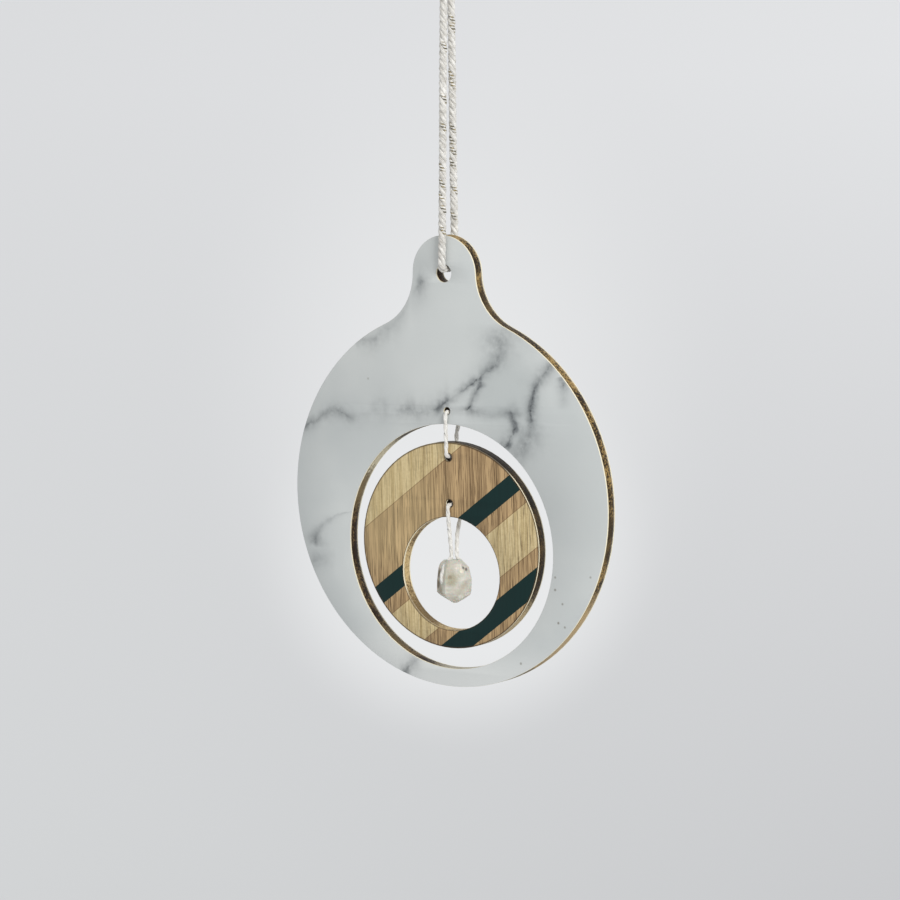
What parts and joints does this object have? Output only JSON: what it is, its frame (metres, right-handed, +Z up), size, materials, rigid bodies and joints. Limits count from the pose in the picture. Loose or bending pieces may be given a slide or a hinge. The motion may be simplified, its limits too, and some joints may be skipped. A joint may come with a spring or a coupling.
{
  "type": "hanging ornament",
  "caption": "Flat marble-faced disc ornament hung by a cord through its neck, with an oak ring swinging in its opening and a quartz crystal swinging in the ring",
  "frame": {"origin": "Where a hook bears, inside the top of the hanging loop, under its knot", "axes": "+Z up along the cord, +X to the viewer's right, front faces towards -Y"},
  "size_m": [0.1, 0.0096, 0.2079],
  "materials": {
    "burnt_board": "laser-cut board edge, rubbed with gold",
    "white_marble": "printed marble facing with grey veins",
    "oak_veneer": "oak veneer with gold and dark green painted stripes",
    "milky_quartz": "milky, rough crystal faces",
    "gold_flecked_cotton": "three-ply twisted white cotton with gold flecks",
    "white_thread": "white twisted thread"
  },
  "bodies": {
    "loop": {"cord_knot": "gold_flecked_cotton"},
    "cord": {"hanging_cord": "gold_flecked_cotton"},
    "plate": {"plate_core": "burnt_board", "plate_front_marble": "white_marble", "plate_back_marble": "white_marble", "ring_thread_knot": "white_thread"},
    "ring_thread": {"ring_thread": "white_thread"},
    "ring": {"ring_core": "burnt_board", "ring_front_veneer": "oak_veneer", "ring_back_veneer": "oak_veneer", "crystal_thread_knot": "white_thread"},
    "crystal_thread": {"crystal_thread": "white_thread"},
    "crystal": {"quartz_crystal": "milky_quartz"}
  },
  "joints": [
    {"name": "cord_twist", "type": "hinge", "parent": "loop", "child": "cord", "pos_m": [0, 0, 0], "axis": [0, 0, 1], "continuous": true, "deforming": ["hanging_cord"]},
    {"name": "plate_rock", "type": "hinge", "parent": "cord", "child": "plate", "pos_m": [0, 0, -0.0837], "axis": [0, 1, 0], "range_deg": [-12, 12]},
    {"name": "ring_swing", "type": "hinge", "parent": "plate", "child": "ring_thread", "pos_m": [0, 0, -0.1249], "axis": [1, 0, 0], "range_deg": [-30, 30], "deforming": ["ring_thread"]},
    {"name": "ring_spin", "type": "hinge", "parent": "ring_thread", "child": "ring", "pos_m": [0, 0, -0.1297], "axis": [0, 0, 1], "continuous": true},
    {"name": "crystal_swing", "type": "hinge", "parent": "ring", "child": "crystal_thread", "pos_m": [0, 0, -0.1496], "axis": [0.9993, 0.0384, 0], "range_deg": [-30, 30], "deforming": ["crystal_thread"]},
    {"name": "crystal_spin", "type": "hinge", "parent": "crystal_thread", "child": "crystal", "pos_m": [0, 0, -0.1613], "axis": [0, 0, 1], "continuous": true}
  ]
}
